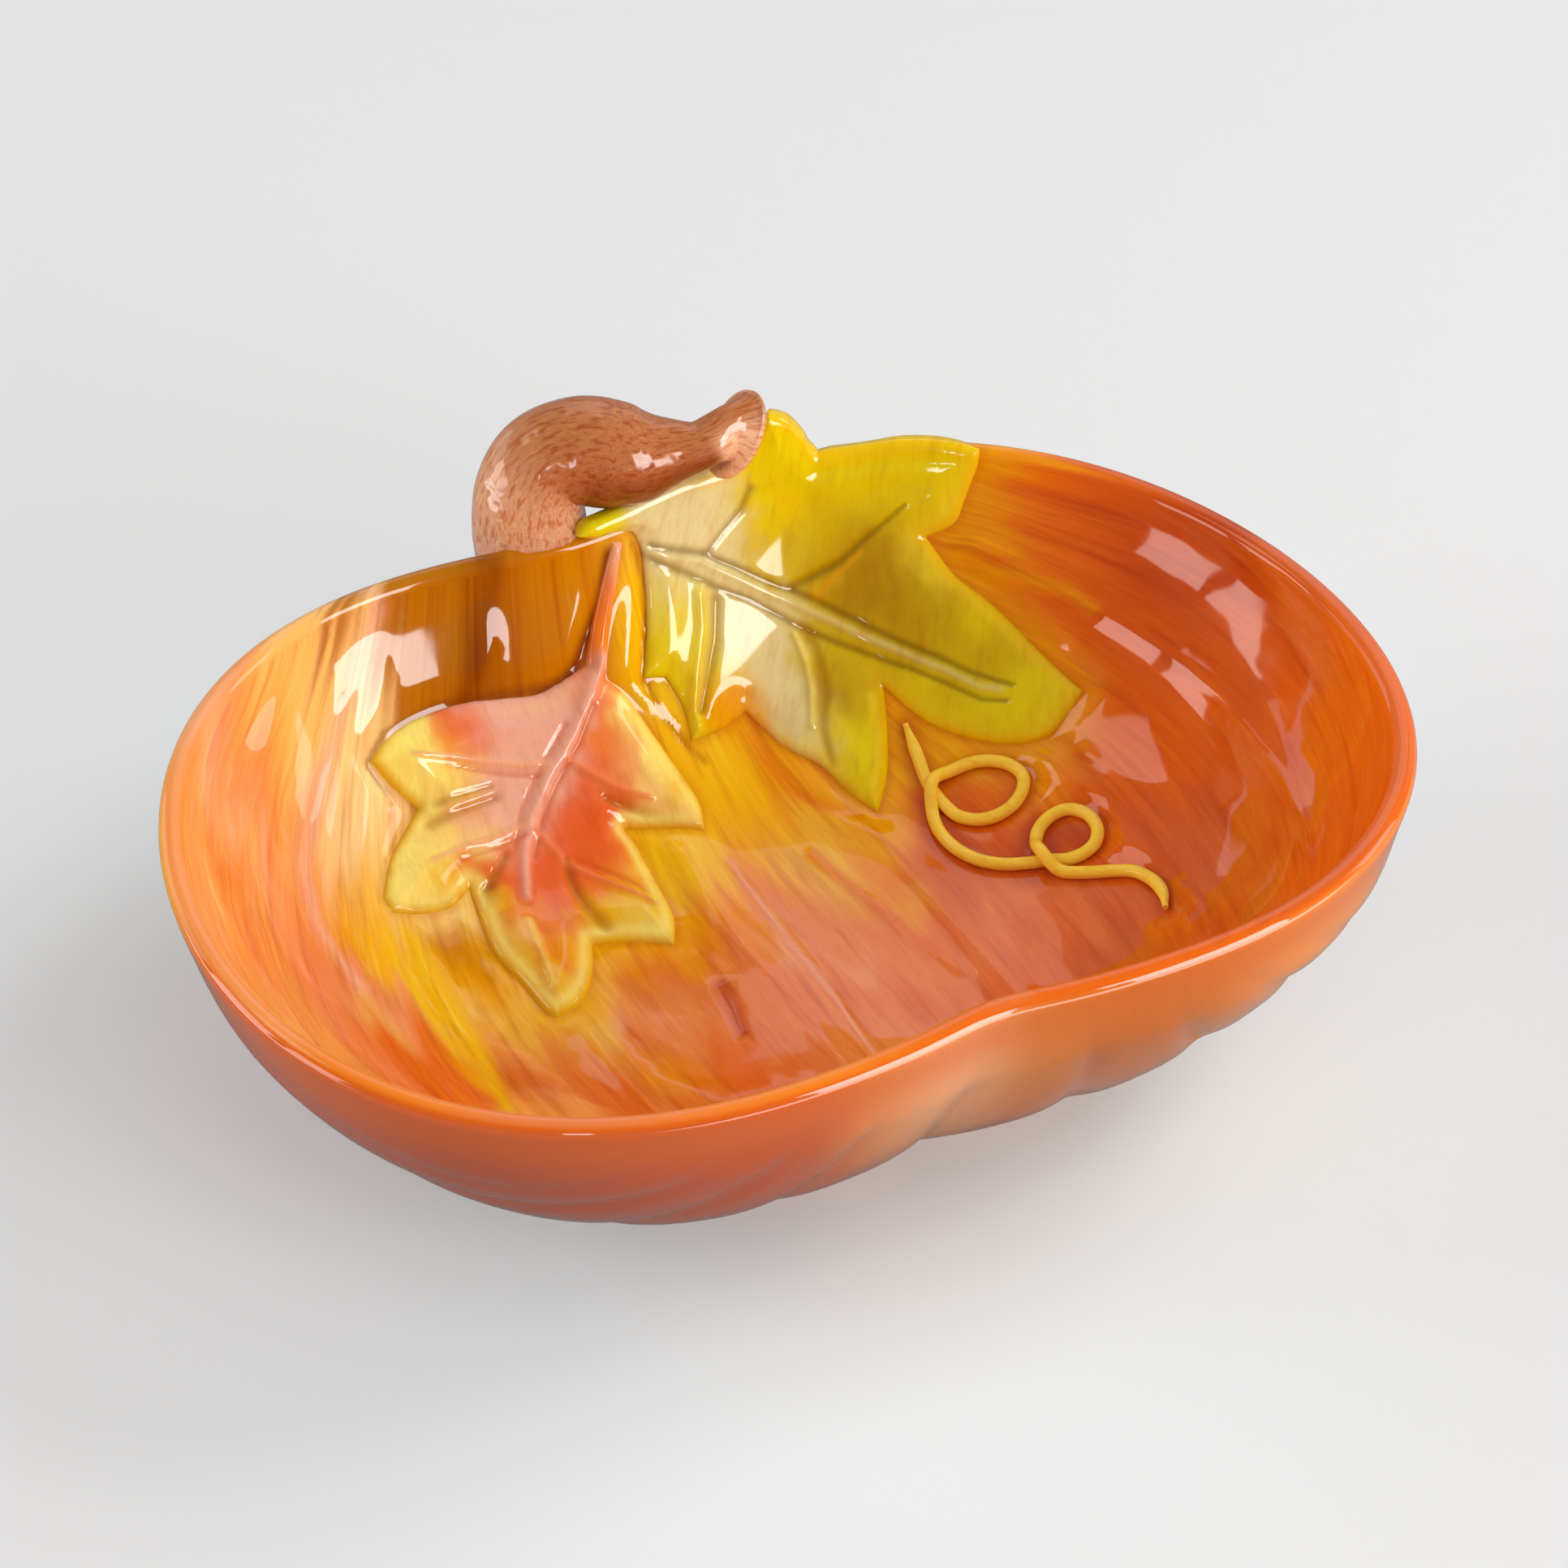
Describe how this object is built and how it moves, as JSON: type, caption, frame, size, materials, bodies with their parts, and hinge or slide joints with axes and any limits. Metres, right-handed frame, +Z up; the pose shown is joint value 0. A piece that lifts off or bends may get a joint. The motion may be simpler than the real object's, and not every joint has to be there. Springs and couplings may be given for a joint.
{
  "type": "decorative bowl",
  "caption": "Pumpkin-shaped serving bowl of glazed earthenware with ribbed walls, a curled stem handle over the rim, pressed leaves and a curled tendril inside.",
  "frame": {"origin": "middle of the whole outline seen from above, on the plane that the foot stands on", "axes": "+X across the bowl's longest width, +Y towards the stem handle, +Z up out of the open side"},
  "size_m": [0.242, 0.1922, 0.0917],
  "materials": {
    "orange_glaze": "gloss",
    "stem_glaze": "gloss",
    "leaf_green_glaze": "gloss",
    "leaf_red_glaze": "gloss",
    "tendril_glaze": "gloss"
  },
  "bodies": {
    "root": {"bowl_body": "orange_glaze", "stem_handle": "stem_glaze", "green_leaf": "leaf_green_glaze", "autumn_leaf": "leaf_red_glaze", "vine_tendril": "tendril_glaze"}
  },
  "joints": []
}
